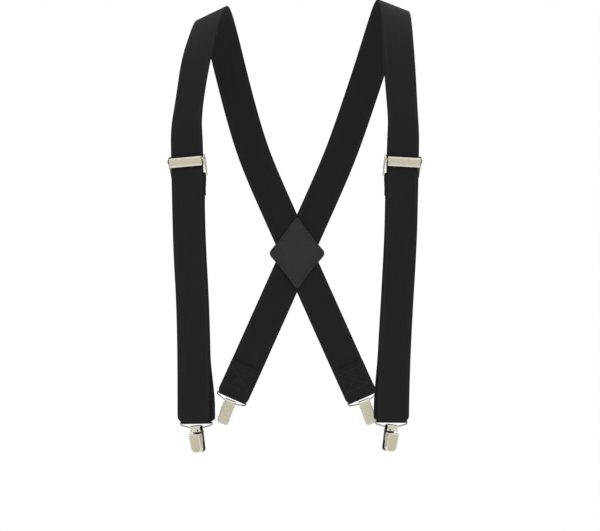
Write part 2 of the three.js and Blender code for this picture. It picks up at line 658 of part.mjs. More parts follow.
function makeAdjuster(side) {
  const adjuster = seatedGroup(adjusterSeat(side));
  const name = `${side}_adjuster`;
  const inwards = side === 'left' ? 1 : -1;
  addPiece(adjuster, `${name}_frame`, adjusterFrameGeometry(), nickel);
  addPiece(adjuster, `${name}_lever`, adjusterLeverGeometry(), nickel);
  addPiece(adjuster, `${name}_inner_rivet`, rivetGeometry(inwards), steel);
  addPiece(adjuster, `${name}_outer_rivet`, rivetGeometry(-inwards), steel);
}

// ---------------------------------------------------------------- assembly
for (const side of ['left', 'right']) {
  makeStrap(side);
  makeReturnLayer(side);
  makeAdjuster(side);
  makeClip(side, 'front');
  makeClip(side, 'rear');
}
makeCrosspatch();

export default group;
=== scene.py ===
# Looks for the clip-on suspenders: every CAD piece gets a finely made piece in its place.
#
# Shapes are worked out in millimetres in each piece's own axes, as the CAD does: u runs across the
# strap, v up it and n away from the wearer. Meshes are stored in metres.
import math
from math import cos, pi, radians, sin

import bmesh
import bpy
import numpy as np
from mathutils import Matrix, Vector


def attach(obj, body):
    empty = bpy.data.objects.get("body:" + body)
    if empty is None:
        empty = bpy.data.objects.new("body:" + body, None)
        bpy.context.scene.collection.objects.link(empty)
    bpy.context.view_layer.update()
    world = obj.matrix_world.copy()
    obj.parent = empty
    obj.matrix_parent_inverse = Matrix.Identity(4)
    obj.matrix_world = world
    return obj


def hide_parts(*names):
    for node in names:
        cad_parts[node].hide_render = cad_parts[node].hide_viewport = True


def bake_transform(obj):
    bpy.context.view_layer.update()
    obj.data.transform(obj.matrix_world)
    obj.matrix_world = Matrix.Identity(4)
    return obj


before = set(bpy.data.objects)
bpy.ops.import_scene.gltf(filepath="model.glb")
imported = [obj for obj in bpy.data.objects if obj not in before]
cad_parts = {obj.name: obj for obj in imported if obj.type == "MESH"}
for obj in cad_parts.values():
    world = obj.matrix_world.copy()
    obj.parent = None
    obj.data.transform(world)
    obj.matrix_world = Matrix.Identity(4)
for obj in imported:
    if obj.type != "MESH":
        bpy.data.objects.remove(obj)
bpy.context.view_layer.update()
MM = 0.001
SCENE = bpy.context.scene
SIDES = ("left", "right")

# ---- camera
camera_data = bpy.data.cameras.new("camera")
camera_data.lens = 163.6
camera_data.sensor_width = 36
camera = bpy.data.objects.new("camera", camera_data)
SCENE.collection.objects.link(camera)
camera.location = (0.0055, -3.125, -0.291)
camera.rotation_euler = (radians(90), 0, 0)
SCENE.camera = camera

# ---- dimensions
# They are the CAD's, but for the fold's shape and the widths of the hood and neck.
GAP = 0.3  # clearance between neighbouring pieces
WEB_WIDTH = 38.0
WEB_THICK = 1.5
FOLD_WIDTH = 34.6  # the web is drawn in where it turns round a bail
FOLD_FLAT = 2.9  # it stays drawn in this far from the fold's bottom
FOLD_TAPER = 4.0  # and widens again over this length
FOLD_END = 0.09  # spline value by which the web is straight above a front fold
TURN_STEPS = 16  # frames in the half turn round a bail
SHEET = 0.8  # sheet metal
WIRE_R = 0.8  # bail wire
FOLD_R = WIRE_R + GAP + WEB_THICK / 2  # the web's mid-line round the wire
SEWN_TAIL = 40.0  # overlap at each rear end
SKEW = {"left": 4.8, "right": 2.4}  # how far the return layer peeks out inwards
FOLD_TILT = {"left": radians(3), "right": radians(-3)}

BAIL = {"half": 18.4, "shoulder": -3.8, "foot_half": 8.6, "foot": -6.4}
BODY_DROP = -8.6  # the clip body's own origin below the bail's top wire
TWIST = radians(12)
ROLL = radians(4)
HOOD = {"half": 6.3, "deep": 2.6, "rise": 1.6}
NECK_TOP = -0.2
NECK_TIP = {"n": 4.6, "v": -2.8, "half": 7.4}
BODY_HALF = 6.8  # half width of the base plate and the cover
COVER_TOP = -4.7
CLIP_FOOT = -25.6
EAR_HALF = 5.3  # middle of each base ear
COVER_PIN = {"n": 4.9, "v": -7.0, "r": 0.8}
JAW_PIN = {"n": 1.9, "v": -8.2, "r": 0.6}
JAW = {"half": 4.6, "back": 2.5, "foot": -23.9}
PAD = {"half": 4.5, "top": -15.8, "foot": -22.2}
BASE_PAD = (-2.3, -0.9)  # back and face of each pad
JAW_PAD = (2.2, 1.2)

ADJUSTER_HEIGHT = -177.0  # world z of the adjuster's middle
ADJUSTER_ROLL = {"left": radians(4), "right": radians(-2)}
ROLL_CENTRE = -4.75
EAR_INNER = 20.4  # inner face of each frame ear
BAR = {"n": -3.8, "v": -15.5, "r": 0.8}
LEVER_PIN = {"n": 3.6, "v": 2.2, "r": 0.7}
LEVER_HALF = 19.3
LOOP_TAIL = 22.0  # sewn overlap below the bar

# Control points of each strap's mid-line, from the front clip over the shoulder to the rear clip:
# x, y, z, then turn (the strap faces outwards by this angle) and tip (its inner edge is raised).
ROUTES = {
    "left": [
        (-112.2, -106, -464, 17, 0), (-112.2, -107.5, -444.6, 17, 0), (-112.0, -111.5, -390, 17, 0),
        (-113.2, -116.8, -330, 18, 0), (-115.6, -120.6, -290, 18, 0), (-117.0, -122.1, -255, 19, 0),
        (-117.7, -123.6, -220, 19, 0), (-118.4, -125.1, -185, 19, 0), (-119.1, -126.6, -150, 19, 0),
        (-119.4, -127.24, -135, 28, 0), (-116.5, -124, -112, 33, 0), (-113.3, -117, -88, 32, 1),
        (-109.8, -105, -64, 28, 4), (-105.6, -86, -42, 27, 10), (-100.6, -60, -20, 26, 17),
        (-96.6, -28, -4.5, 12, 24), (-93.0, 4, -1, 0, 27), (-89.5, 38, -9, -8, 24),
        (-84.0, 68, -30, -12, 17), (-76.5, 92, -62, -12, 9), (-66.0, 108, -104, -8, 3),
        (-52.8, 115.5, -150, -3, 0), (-38.0, 113.7, -187.4, 0, 0), (-18.0, 109.9, -232, 0, 0),
        (2.0, 106.1, -276.6, 0, 0), (22.0, 102.3, -321.2, 0, 0), (42.0, 98.5, -365.8, 0, 0),
        (62.0, 94.7, -410.4, -3, 0), (78.0, 91.7, -446, -6, 0),
    ],
    "right": [
        (108.4, -106, -462.8, 18, 0), (108.4, -107.5, -443.4, 18, 0), (109.8, -111.5, -390, 19, 0),
        (113.0, -116.8, -330, 20, 0), (115.2, -120.6, -290, 19, 0), (116.9, -122.1, -255, 19, 0),
        (117.6, -123.6, -220, 19, 0), (118.3, -125.1, -185, 19, 0), (119.0, -126.6, -150, 19, 0),
        (119.3, -127.24, -135, 27, 0), (117.8, -124, -112, 26, 0), (116.3, -116, -85, 22, 1),
        (115.0, -103, -58, 21, 3), (114.4, -83, -34, 22, 8), (114.0, -57, -12, 20, 14),
        (113.2, -27, 4, 10, 20), (110.8, 4, 8.5, 0, 22), (106.5, 38, 0, -8, 20),
        (99.5, 68, -22, -12, 15), (89.0, 92, -56, -12, 8), (74.5, 109, -100, -8, 3),
        (57.5, 117.5, -150, -3, 0), (42.0, 115.7, -187.4, 0, 0), (22.0, 111.9, -232, 0, 0),
        (2.0, 108.1, -276.6, 0, 0), (-18.0, 104.3, -321.2, 0, 0), (-38.0, 100.5, -365.8, 0, 0),
        (-58.0, 96.7, -410.4, -3, 0), (-74.0, 93.7, -446, -6, 0),
    ],
}
CROSSING = Vector((2, 107.1, -276.6))  # mid-way between the two crossing straps
CROSSING_SLOPE = math.atan2(3.8, 44.6)
CROSSING_RUN = (20.0, 44.8)  # across and along, the way a strap runs under the crosspatch
CROSSPATCH = {"half_width": 34.0, "half_height": 44.0, "tip_round": 5.0, "scoop": 0.475, "thick": 1.6}


# ---- routes
def spread(a, b, steps):
    return [a + (b - a) * i / steps for i in range(steps + 1)]


def eased_step(value, a, b):
    t = min(max((value - a) / (b - a), 0.0), 1.0)
    return t * t * (3 - 2 * t)


def bspline(points, u):
    """A clamped cubic B-spline through the control points, by de Boor's steps."""
    degree = 3
    last = len(points) - degree
    span = min(math.floor(u), last - 1) + degree

    def knot(i):
        return min(max(i - degree, 0), last)

    d = [np.array(p, float) for p in points[span - degree:span + 1]]
    for r in range(1, degree + 1):
        for j in range(degree, r - 1, -1):
            i = j + span - degree
            a = (u - knot(i)) / (knot(i + degree - r + 1) - knot(i))
            d[j] = (1 - a) * d[j - 1] + a * d[j]
    return d[degree]


def last_value(side):
    return len(ROUTES[side]) - 3


def station(side, u):
    """The place, tangent, facing normal and inward direction of a strap at spline value u."""
    points = ROUTES[side]
    step = 1e-3
    x, y, z, turn, tip = bspline(points, u)
    ahead = Vector(bspline(points, min(u + step, last_value(side)))[:3])
    behind = Vector(bspline(points, max(u - step, 0))[:3])
    tangent = (ahead - behind).normalized()
    turn, tip = radians(turn), radians(tip)
    inwards = 1 if side == "left" else -1
    inner = Vector((
        inwards * cos(turn) * cos(tip),
        -sin(turn) * cos(tip),
        sin(tip),
    ))
    inner = (inner - tangent * inner.dot(tangent)).normalized()
    normal = inner.cross(tangent) * inwards
    return Vector((x, y, z)), tangent, normal, inner


def value_at_height(side, height):
    """The spline value at which the front of a strap reaches a height."""
    low, high = 0.0, 10.0
    for _ in range(40):
        middle = (low + high) / 2
        if bspline(ROUTES[side], middle)[2] < height:
            low = middle
        else:
            high = middle
    return (low + high) / 2


def value_before_rear(side, length):
    """The spline value at which this length of strap is left before its rear end."""
    u = last_value(side)
    place = station(side, u)[0]
    while length > 0:
        u -= 0.01
        following = station(side, u)[0]
        length -= (following - place).length
        place = following
    return u


def near_fold(u):
    """1 at the fold bottom, easing to 0 so that the web's corner is rounded."""
    return 1 - sin(pi / 2 * min(u / FOLD_END, 1))


def seat_matrix(origin, across, up, normal):
    matrix = Matrix((across, up, normal)).transposed().to_4x4()
    matrix.translation = origin
    return matrix


def turned(vector, axis, angle):
    return Matrix.Rotation(angle, 3, axis) @ vector


def clip_seat(side, end):
    """The bail's local axes at one end of a strap."""
    front = end == "front"
    place, tangent, normal, inner = station(side, 0 if front else last_value(side))
    up = tangent if front else -tangent
    origin = place - normal * FOLD_R
    if front:
        up = turned(up, normal, FOLD_TILT[side])
        origin += inner * SKEW[side] / 2
    return seat_matrix(origin, up.cross(normal), up, normal)


def body_seat(seat):
    """The local axes of a clip's body, which is turned a little on its bail."""
    outwards = math.copysign(1, seat.translation.x) * math.copysign(1, seat.col[0].x)
    drop = Matrix.Translation((0, BODY_DROP, 0))
    twist = Matrix.Rotation(outwards * TWIST, 4, "Y")
    roll = Matrix.Rotation(-outwards * ROLL, 4, "Z")
    return seat @ drop @ twist @ roll


def adjuster_seat(side):
    place, tangent, normal, _ = station(side, value_at_height(side, ADJUSTER_HEIGHT))
    up = turned(tangent, normal, ADJUSTER_ROLL[side])
    origin = place + tangent * ROLL_CENTRE - up * ROLL_CENTRE
    return seat_matrix(origin, up.cross(normal), up, normal)


def axes_of(seat):
    return [seat.col[i].to_3d() for i in range(3)]


# ---- web strips
class Strip:
    """Frames along a web: a place, its outer face's normal and its direction across."""

    def __init__(self):
        self.frames = []

    def add_run(self, side, values, offset=None, skew=None, facing=1):
        """Frames along a strap's route, set back by offset(u) and inwards by skew(u)."""
        for u in values:
            place, tangent, normal, inner = station(side, u)
            place = place + normal * (offset(u) if offset else 0) + inner * (skew(u) if skew else 0)
            across = turned(normal.cross(tangent), normal, FOLD_TILT[side] * near_fold(u))
            self.frames.append((place, normal * facing, across))

    def add_turn(self, centre, normal, beyond, across, radius, start, end, steps):
        """Frames on an arc about centre, from normal (0 degrees) towards beyond (90 degrees)."""
        for angle in spread(radians(start), radians(end), steps):
            outwards = normal * cos(angle) + beyond * sin(angle)
            self.frames.append((centre + outwards * radius, outwards, across))

    def measure(self):
        self.distance = [0.0]
        for i in range(1, len(self.frames)):
            step = (self.frames[i][0] - self.frames[i - 1][0]).length
            self.distance.append(self.distance[-1] + step)

    def at(self, distance, u, height):
        """A point on the strip, and its normal there."""
        i = int(np.searchsorted(self.distance, distance)) - 1
        i = min(max(i, 0), len(self.frames) - 2)
        share = (distance - self.distance[i]) / (self.distance[i + 1] - self.distance[i])
        a, b = self.frames[i], self.frames[i + 1]
        place, normal, across = (a[k].lerp(b[k], share) for k in range(3))
        return place + across * u + normal * height, normal.normalized()


def web_width(from_fold):
    """The web's width at this distance from a fold's bottom."""
    widened = min(max((from_fold - FOLD_FLAT) / FOLD_TAPER, 0.0), 1.0)
    return FOLD_WIDTH + (WEB_WIDTH - FOLD_WIDTH) * sin(widened * pi / 2)


# Half thickness of the web by distance from its edge: a rounded selvedge, a groove and the body.
WEB_SECTION = [
    (0.0, 0.0), (0.06, 0.3), (0.2, 0.5), (0.45, 0.63), (0.9, 0.69), (1.5, 0.66), (1.95, 0.56),
    (2.3, 0.6), (2.7, 0.71), (3.3, 0.74), (4.2, 0.7), (8.0, 0.7), (13.0, 0.73),
]


def web_section(width):
    """The closed outline of the web's cross-section, as (u, n)."""
    half = [(width / 2 - edge, thick) for edge, thick in WEB_SECTION]
    top = [(-u, t) for u, t in half] + [(0.0, WEB_THICK / 2)] + half[::-1]
    bottom = [(u, -t) for u, t in top[::-1][1:-1]]
    return top + bottom


def web_mesh(name, strip, folds, lead=0.0):
    """A closed web swept along a strip. folds are the distances of fold bottoms along it."""
    verts, uvs, faces = [], [], []
    for (place, normal, across), distance in zip(strip.frames, strip.distance):
        from_fold = min(abs(distance - d) for d in folds) + lead
        section = web_section(web_width(from_fold))
        for u, n in section:
            verts.append((place + across * u + normal * n) * MM)
            uvs.append((u * MM, distance * MM))
    ring = len(web_section(WEB_WIDTH))
    for i in range(len(strip.frames) - 1):
        for k in range(ring):
            after = (k + 1) % ring
            a, b = i * ring, (i + 1) * ring
            faces.append((a + k, a + after, b + after, b + k))
    end = (len(strip.frames) - 1) * ring
    faces.append(tuple(reversed(range(ring))))
    faces.append(tuple(range(end, end + ring)))
    mesh = bpy.data.meshes.new(name)
    mesh.from_pydata(verts, [], faces)
    layer = mesh.uv_layers.new(name="web")
    for loop in mesh.loops:
        layer.data[loop.index].uv = uvs[loop.vertex_index]
    settle_normals(mesh)
    return mesh


def settle_normals(mesh):
    """Outward faces, shaded smooth but for edges sharper than 40 degrees."""
    bm = bmesh.new()
    bm.from_mesh(mesh)
    bmesh.ops.recalc_face_normals(bm, faces=bm.faces)
    bm.to_mesh(mesh)
    bm.free()
    mesh.shade_smooth()
    mesh.set_sharp_from_angle(angle=radians(40))


def finished_mesh(name, bm):
    mesh = bpy.data.meshes.new(name)
    bm.to_mesh(mesh)
    bm.free()
    settle_normals(mesh)
    return mesh


# ---- solids
def ring_angles(sides):
    return [2 * pi * k / sides for k in range(sides)]


def add_row(bm, points):
    return [bm.verts.new(p) for p in points]


def grid_faces(bm, rows, closed=False):
    """Quads between successive rows of vertices, which may be closed loops."""
    for a, b in zip(rows, rows[1:]):
        count = len(a) if closed else len(a) - 1
        for k in range(count):
            after = (k + 1) % len(a)
            bm.faces.new((a[k], a[after], b[after], b[k]))


def lofted(bm, rows):
    """Quads between closed loops of vertices, and a face over the first loop and the last."""
    grid_faces(bm, rows, closed=True)
    bm.faces.new(rows[0])
    bm.faces.new(rows[-1][::-1])


def shaped(bm, solidify=0.0, bevel=0.0, angle=35, centred=False):
    """The solid with its sheet thickened and its edges rounded."""
    bmesh.ops.recalc_face_normals(bm, faces=bm.faces)
    mesh = bpy.data.meshes.new("shaping")
    bm.to_mesh(mesh)
    bm.free()
    shaping = bpy.data.objects.new("shaping", mesh)
    SCENE.collection.objects.link(shaping)
    if solidify:
        modifier = shaping.modifiers.new("sheet", "SOLIDIFY")
        modifier.thickness = solidify
        modifier.offset = 0 if centred else -1
        modifier.use_even_offset = True
    if bevel:
        modifier = shaping.modifiers.new("edges", "BEVEL")
        modifier.width = bevel
        modifier.segments = 2
        modifier.limit_method = "ANGLE"
        modifier.angle_limit = radians(angle)
    graph = bpy.context.evaluated_depsgraph_get()
    made = bpy.data.meshes.new_from_object(shaping.evaluated_get(graph))
    bpy.data.objects.remove(shaping)
    return made


def prism(outline, start, end, axis):
    """A closed prism. Across ("u") the outline is in (n, v), and through ("n") it is in (u, v)."""
    bm = bmesh.new()

    def point(a, b, depth):
        return (depth, b, a) if axis == "u" else (a, b, depth)

    lofted(bm, [add_row(bm, [point(a, b, depth) for a, b in outline]) for depth in (start, end)])
    return bm


def arc(centre, radius, start, end, steps):
    """Points of an arc, in degrees. The radius may be a pair, for an ellipse."""
    across, up = radius if isinstance(radius, tuple) else (radius, radius)
    angles = [radians(a) for a in spread(start, end, steps)]
    return [(centre[0] + across * cos(a), centre[1] + up * sin(a)) for a in angles]


def revolved_rows(bm, pin, profile, sides):
    """Rings of vertices about the pin's line, one for each (u, radius) of the profile."""
    angles = ring_angles(sides)
    rows = []
    for u, radius in profile:
        ring = [(u, pin["v"] + radius * sin(a), pin["n"] + radius * cos(a)) for a in angles]
        rows.append(add_row(bm, ring))
    return rows


def turned_bar(pin, profile, sides=20):
    """A solid of revolution about the pin's line."""
    bm = bmesh.new()
    lofted(bm, revolved_rows(bm, pin, profile, sides))
    return shaped(bm)


def domed(half, radius):
    """The profile of a bar with domed ends."""
    dome, flat = 0.35, 0.25
    profile = []
    for a in spread(0, pi / 2, 4):
        profile.append((dome * (1 - sin(a)) - half, radius * (flat + (1 - flat) * sin(a))))
    return profile + [(-u, r) for u, r in profile[::-1]]


def block(us, vs, ns, bevel=0.15):
    outline = [(us[0], vs[0]), (us[1], vs[0]), (us[1], vs[1]), (us[0], vs[1])]
    return shaped(prism(outline, ns[0], ns[1], "n"), bevel=bevel)


def u_path(half, top, foot, radius, inset, top_inset=0.0):
    """The left side, rounded foot and right side of a plate, drawn in by inset."""
    side, bend, flat = 8, 8, 4  # steps
    h, t, f = half - inset, top - top_inset, foot + inset
    r = max(radius - inset, 0.4)
    points = [(-h, v) for v in spread(t, f + r, side)[:-1]]
    points += arc((-h + r, f + r), r, 180, 270, bend)[:-1]
    points += [(u, f) for u in spread(-h + r, h - r, flat)[:-1]]
    points += arc((h - r, f + r), r, 270, 360, bend)[:-1]
    points += [(h, v) for v in spread(f + r, t, side)]
    return points


def cover_parts():
    """The clip's cover: one stamped sheet with a rolled edge round a sunk panel, and its tongue."""
    front_top, front_foot = 8.0, 5.6
    back_top, back_low, back_foot = 1.0, 1.5, 2.2
    back_bend = CLIP_FOOT + 1.2
    round_r = 0.9
    radius = 5.5
    panel = ((1.45, 0), (1.7, 0.16), (2.0, 0.26), (2.4, 0.3))  # inset, depth

    def front(v):
        return front_top + (front_foot - front_top) * (COVER_TOP - v) / (COVER_TOP - CLIP_FOOT)

    def back(v):
        if v > back_bend:
            return back_top + (back_low - back_top) * (COVER_TOP - v) / (COVER_TOP - back_bend)
        return back_foot + (back_low - back_foot) * (v - CLIP_FOOT) / (back_bend - CLIP_FOOT)

    bm = bmesh.new()
    rows = []
    wall = u_path(BODY_HALF, COVER_TOP, CLIP_FOOT, radius, 0)
    rows.append(add_row(bm, [(u, v, back(v)) for u, v in wall]))
    rows.append(add_row(bm, [(u, v, (back(v) + front(v)) / 2) for u, v in wall]))
    for a in (0, 22.5, 45, 67.5, 90):
        inset = round_r * (1 - cos(radians(a)))
        depth = round_r * (1 - sin(radians(a)))
        path = u_path(BODY_HALF, COVER_TOP, CLIP_FOOT, radius, inset)
        rows.append(add_row(bm, [(u, v, front(v) - depth) for u, v in path]))
    grid_faces(bm, rows)
    across = 6
    sunk = []
    for inset, depth in panel:
        path = u_path(BODY_HALF, COVER_TOP, CLIP_FOOT, radius, inset, inset)
        (u0, v0), (u1, _) = path[-1], path[0]
        path += [(u, v0) for u in spread(u0, u1, across)[1:-1]]
        sunk.append(add_row(bm, [(u, v, front(v) - depth) for u, v in path]))
    grid_faces(bm, sunk, closed=True)
    open_count = len(rows[-1])
    grid_faces(bm, [rows[-1], sunk[0][:open_count]])
    (u0, v0), (u1, _) = wall[-1], wall[0]
    u0, u1 = u0 - round_r, u1 + round_r
    top = add_row(bm, [(u, v0, front(v0)) for u in spread(u0, u1, across)[1:-1]])
    top = [rows[-1][-1], *top, rows[-1][0]]
    below = [sunk[0][open_count - 1], *sunk[0][open_count:], sunk[0][0]]
    grid_faces(bm, [top, below])
    bm.faces.new(sunk[-1])
    shell = shaped(bm, solidify=SHEET, bevel=0.14)
    tongue = block((-4, 4), (-10.6, -9.8), (3.7, 6.6))  # it presses on the jaw
    return [shell, tongue]


def base_parts():
    """The clip's base: a back plate, the hood over the bail, the slotted neck and two ears."""
    wire = BAIL["foot"] - BODY_DROP
    deep, rise = HOOD["deep"] + SHEET / 2, HOOD["rise"] + SHEET / 2
    slot_inner, slot_outer, slot_top, slot_foot = 2.4, 4.4, -0.4, -2.1
    slot_middle = (slot_top + slot_foot) / 2
    foot_r = 3.0
    foot_angles = (0, 20, 40, 60, 75, 90)
    upper_rows = (-3.7, NECK_TIP["v"], -1.5, NECK_TOP, 1.0)
    neck_rows = (1.0, 0.2, slot_top, slot_middle, slot_foot, NECK_TIP["v"])

    def blended(v, high, low, at_high, at_low):
        return at_high + (at_low - at_high) * (high - v) / (high - low)

    def half_at(v):
        if v > NECK_TOP:
            return HOOD["half"]
        if v > NECK_TIP["v"]:
            return blended(v, NECK_TOP, NECK_TIP["v"], HOOD["half"], NECK_TIP["half"])
        if v > COVER_TOP:
            return blended(v, NECK_TIP["v"], COVER_TOP, NECK_TIP["half"], BODY_HALF)
        low = CLIP_FOOT + foot_r - v
        if low > 0:
            return BODY_HALF - foot_r + math.sqrt(max(foot_r ** 2 - low ** 2, 0))
        return BODY_HALF

    path = [(-deep, CLIP_FOOT + foot_r * (1 - cos(radians(a)))) for a in foot_angles]
    path += [(-deep, v) for v in spread(CLIP_FOOT + foot_r, COVER_TOP, 6)[1:]]
    path += [(-deep, v) for v in upper_rows]
    path += arc((0, wire), (deep, rise), 180, 0, 18)
    slots_from = len(path) + neck_rows.index(slot_top)
    tip_n = NECK_TIP["n"] - SHEET / 2
    path += [(blended(v, wire, NECK_TIP["v"], deep, tip_n), v) for v in neck_rows]
    bm = bmesh.new()
    rows = []
    for n, v in path:
        half = half_at(v)
        inner, outer = min(slot_inner, 0.4 * half), min(slot_outer, 0.75 * half)
        us = [inner, outer, (outer + half) / 2, half]
        us = [-u for u in us[::-1]] + [0.0] + us
        rows.append(add_row(bm, [(u, v, n) for u in us]))
    slot_rows = (slots_from, slots_from + 1)
    slot_columns = (2, 5)
    for i, (a, b) in enumerate(zip(rows, rows[1:])):
        for k in range(len(a) - 1):
            if i in slot_rows and k in slot_columns:
                continue
            bm.faces.new((a[k], a[k + 1], b[k + 1], b[k]))
    parts = [shaped(bm, solidify=SHEET, bevel=0.16, centred=True)]

    in_plate = -HOOD["deep"] - SHEET / 2
    ear_foot, ear_chin, ear_top, ear_r = -14.5, -10.8, -6.0, 1.6
    ear = [(in_plate, ear_foot), (JAW_PIN["n"], ear_chin)]
    ear += arc((COVER_PIN["n"], COVER_PIN["v"]), ear_r, -90, 90, 10)
    ear += [(in_plate, ear_top)]
    for middle in (-EAR_HALF, EAR_HALF):
        solid = prism(ear, middle - SHEET / 2, middle + SHEET / 2, "u")
        parts.append(shaped(solid, bevel=0.14))
    return parts


def jaw_parts():
    """The jaw: a plate rolled round its pin."""
    outline = u_path(JAW["half"], JAW_PIN["v"], JAW["foot"], 3, 0)
    plate = shaped(prism(outline, JAW["back"], JAW["back"] + SHEET, "n"), bevel=0.15)
    roll, bore, half = 1.6, JAW_PIN["r"] + GAP, JAW["half"]
    edge = 0.12
    left = [(-half + edge, bore), (-half, bore + edge), (-half, roll - edge), (-half + edge, roll)]
    section = left + [(-u, r) for u, r in left[::-1]]
    bm = bmesh.new()
    rows = revolved_rows(bm, JAW_PIN, section, 24)
    grid_faces(bm, [*rows, rows[0]], closed=True)
    return [plate, shaped(bm)]


def pad_parts(back, face):
    """A grip pad: a flat land above and blunt teeth below."""
    teeth, pitch, depth = 4, 1.0, (face - back) * 0.25
    first = PAD["foot"] + teeth * pitch
    outline = [(back, PAD["foot"]), (back, PAD["top"]), (face, PAD["top"])]
    for i in range(teeth):
        outline.append((face, first - i * pitch))
        outline.append((face - depth, first - (i + 0.5) * pitch))
    outline.append((face, PAD["foot"]))
    return [shaped(prism(outline, -PAD["half"], PAD["half"], "u"), bevel=0.12, angle=25)]


def spring_parts():
    """The leaf spring, a U between the back plate and the jaw."""
    centre, foot, half, leaf = (-0.05, -11.9), -15.3, 3.0, 0.4
    radius = 2.05
    path = [(centre[0] + radius, foot)] + arc(centre, radius, 0, 180, 16) + [(centre[0] - radius, foot)]
    bm = bmesh.new()
    rows = [add_row(bm, [(u, v, n) for u in (-half, 0, half)]) for n, v in path]
    grid_faces(bm, rows)
    return [shaped(bm, solidify=leaf, bevel=0.08, centred=True)]


def bail_parts():
    """The bail: round wire bent into a closed loop."""
    corners = [
        (-BAIL["half"], 0), (-BAIL["half"], BAIL["shoulder"]), (-BAIL["foot_half"], BAIL["foot"]),
        (BAIL["foot_half"], BAIL["foot"]), (BAIL["half"], BAIL["shoulder"]), (BAIL["half"], 0),
    ]
    corners = [Vector((u, v, 0)) for u, v in corners]
    reach, bend = 1.6, 7  # how far a bend reaches from its corner, and its steps
    path = []
    for i, corner in enumerate(corners):
        before, after = corners[i - 1], corners[(i + 1) % len(corners)]
        start = corner + (before - corner).normalized() * reach
        end = corner + (after - corner).normalized() * reach
        for t in spread(0, 1, bend):
            path.append(start * (1 - t) ** 2 + corner * 2 * t * (1 - t) + end * t * t)
        following = after + (corner - after).normalized() * reach
        path += [end.lerp(following, t) for t in (0.25, 0.5, 0.75)]
    bm = bmesh.new()
    away = Vector((0, 0, 1))
    rows = []
    for i, point in enumerate(path):
        tangent = (path[(i + 1) % len(path)] - path[i - 1]).normalized()
        outwards = tangent.cross(away)
        around = [outwards * cos(a) + away * sin(a) for a in ring_angles(16)]
        rows.append(add_row(bm, [point + reach * WIRE_R for reach in around]))
    grid_faces(bm, [*rows, rows[0]], closed=True)
    return [shaped(bm)]


def rounded_rectangle(half, low, high, radius, inset):
    """A plate's outline, drawn in by inset."""
    r = max(radius - inset, 0.3)
    reach, top, foot = half - inset - r, high - inset - r, low + inset + r
    points = []
    for i, centre in enumerate(((reach, top), (-reach, top), (-reach, foot), (reach, foot))):
        points += arc(centre, r, 90 * i, 90 * i + 90, 6)
    return points


def lever_parts():
    """The adjuster's lever: a plate with a rolled edge round a sunk panel, and the toothed rib."""
    low, high, back, front, corner_r = -5.3, 5.1, 4.2, 5.1, 1.3
    edge = [(0.12, back), (0, back + 0.12), (0, front - 0.4), (0.06, front - 0.22), (0.18, front - 0.08)]
    face = [(0.4, front), (1.25, front), (1.45, front - 0.1), (1.75, front - 0.2), (2.1, front - 0.22)]
    bm = bmesh.new()
    rows = []
    for inset, n in edge + face:
        points = rounded_rectangle(LEVER_HALF, low, high, corner_r, inset)
        rows.append(add_row(bm, [(u, v, n) for u, v in points]))
    lofted(bm, rows)
    parts = [shaped(bm)]

    pitch, count, half = 1.4, 25, LEVER_HALF - 1.4
    rib_back, root, tip, root_half = 4.4, 1.75, 1.1, 0.1
    teeth = [(-half, rib_back)]
    for i in range(count):
        start = -half + 2 * half * i / count
        teeth += [(start + root_half, root), (start + pitch / 2, tip)]
    teeth += [(half - root_half, root), (half, rib_back)]
    bm = bmesh.new()
    lofted(bm, [add_row(bm, [(u, v, n) for u, n in teeth]) for v in (0.8, 1.6)])
    parts.append(shaped(bm))

    lug, lug_r, chamfer = 0.9, 1.5, 0.1
    lug_profile = [(0, lug_r - chamfer), (chamfer, lug_r), (lug - chamfer, lug_r), (lug, lug_r - chamfer)]
    for start in (-LEVER_HALF, LEVER_HALF - lug):
        parts.append(turned_bar(LEVER_PIN, [(start + u, r) for u, r in lug_profile], 24))
    return parts


def adjuster_frame_parts():
    """The adjuster's frame: a strip across the top, a bar across the foot and two ears."""
    outer = EAR_INNER + SHEET
    strip_v, strip_n = (-1, 7), (-2.2, -1.3)
    ear_back, ear_foot = BAR["n"] - 0.9, BAR["v"] - 1
    back_bend, front_bend = (ear_back, -7), (2.6, -3.2)
    rim = 1.6
    ear = [(strip_n[0], strip_v[1]), back_bend, (ear_back, ear_foot), (-1.6, ear_foot), front_bend]
    ear += [(LEVER_PIN["n"] + rim, LEVER_PIN["v"] - 1)]
    ear += arc((LEVER_PIN["n"], LEVER_PIN["v"]), rim, 0, 90, 8)
    ear += [(1, strip_v[1])]
    parts = [block((-outer, outer), strip_v, strip_n, 0.2)]
    parts.append(turned_bar(BAR, [(-outer, BAR["r"] - 0.05), (outer, BAR["r"] - 0.05)]))
    for start in (-outer, EAR_INNER):
        parts.append(shaped(prism(ear, start, start + SHEET, "u"), bevel=0.2))
    return parts


def rivet_parts(sign):
    """A rivet: a shank through the lever's lug and the frame's ear, and a domed head outside."""
    head_at = EAR_INNER + SHEET + 0.05
    shank = LEVER_HALF - 0.8
    head = ((0.01, 1.25), (0.25, 1.25), (0.5, 1.05), (0.68, 0.7), (0.75, 0.3))  # length, radius
    profile = [(shank, 0.5), (shank + 0.1, LEVER_PIN["r"]), (head_at, LEVER_PIN["r"])]
    profile += [(head_at + u, r) for u, r in head]
    return [turned_bar(LEVER_PIN, [(sign * u, r) for u, r in profile])]


# ---- stitches
THREAD_R = 0.24
# Along a stitch: the share of its length, its middle's height over the cloth and its thickness.
STITCH = (
    (0, -0.22, 0.6), (0.08, -0.02, 0.95), (0.3, 0.1, 1), (0.5, 0.12, 1),
    (0.7, 0.1, 1), (0.92, -0.02, 0.95), (1, -0.22, 0.6),
)


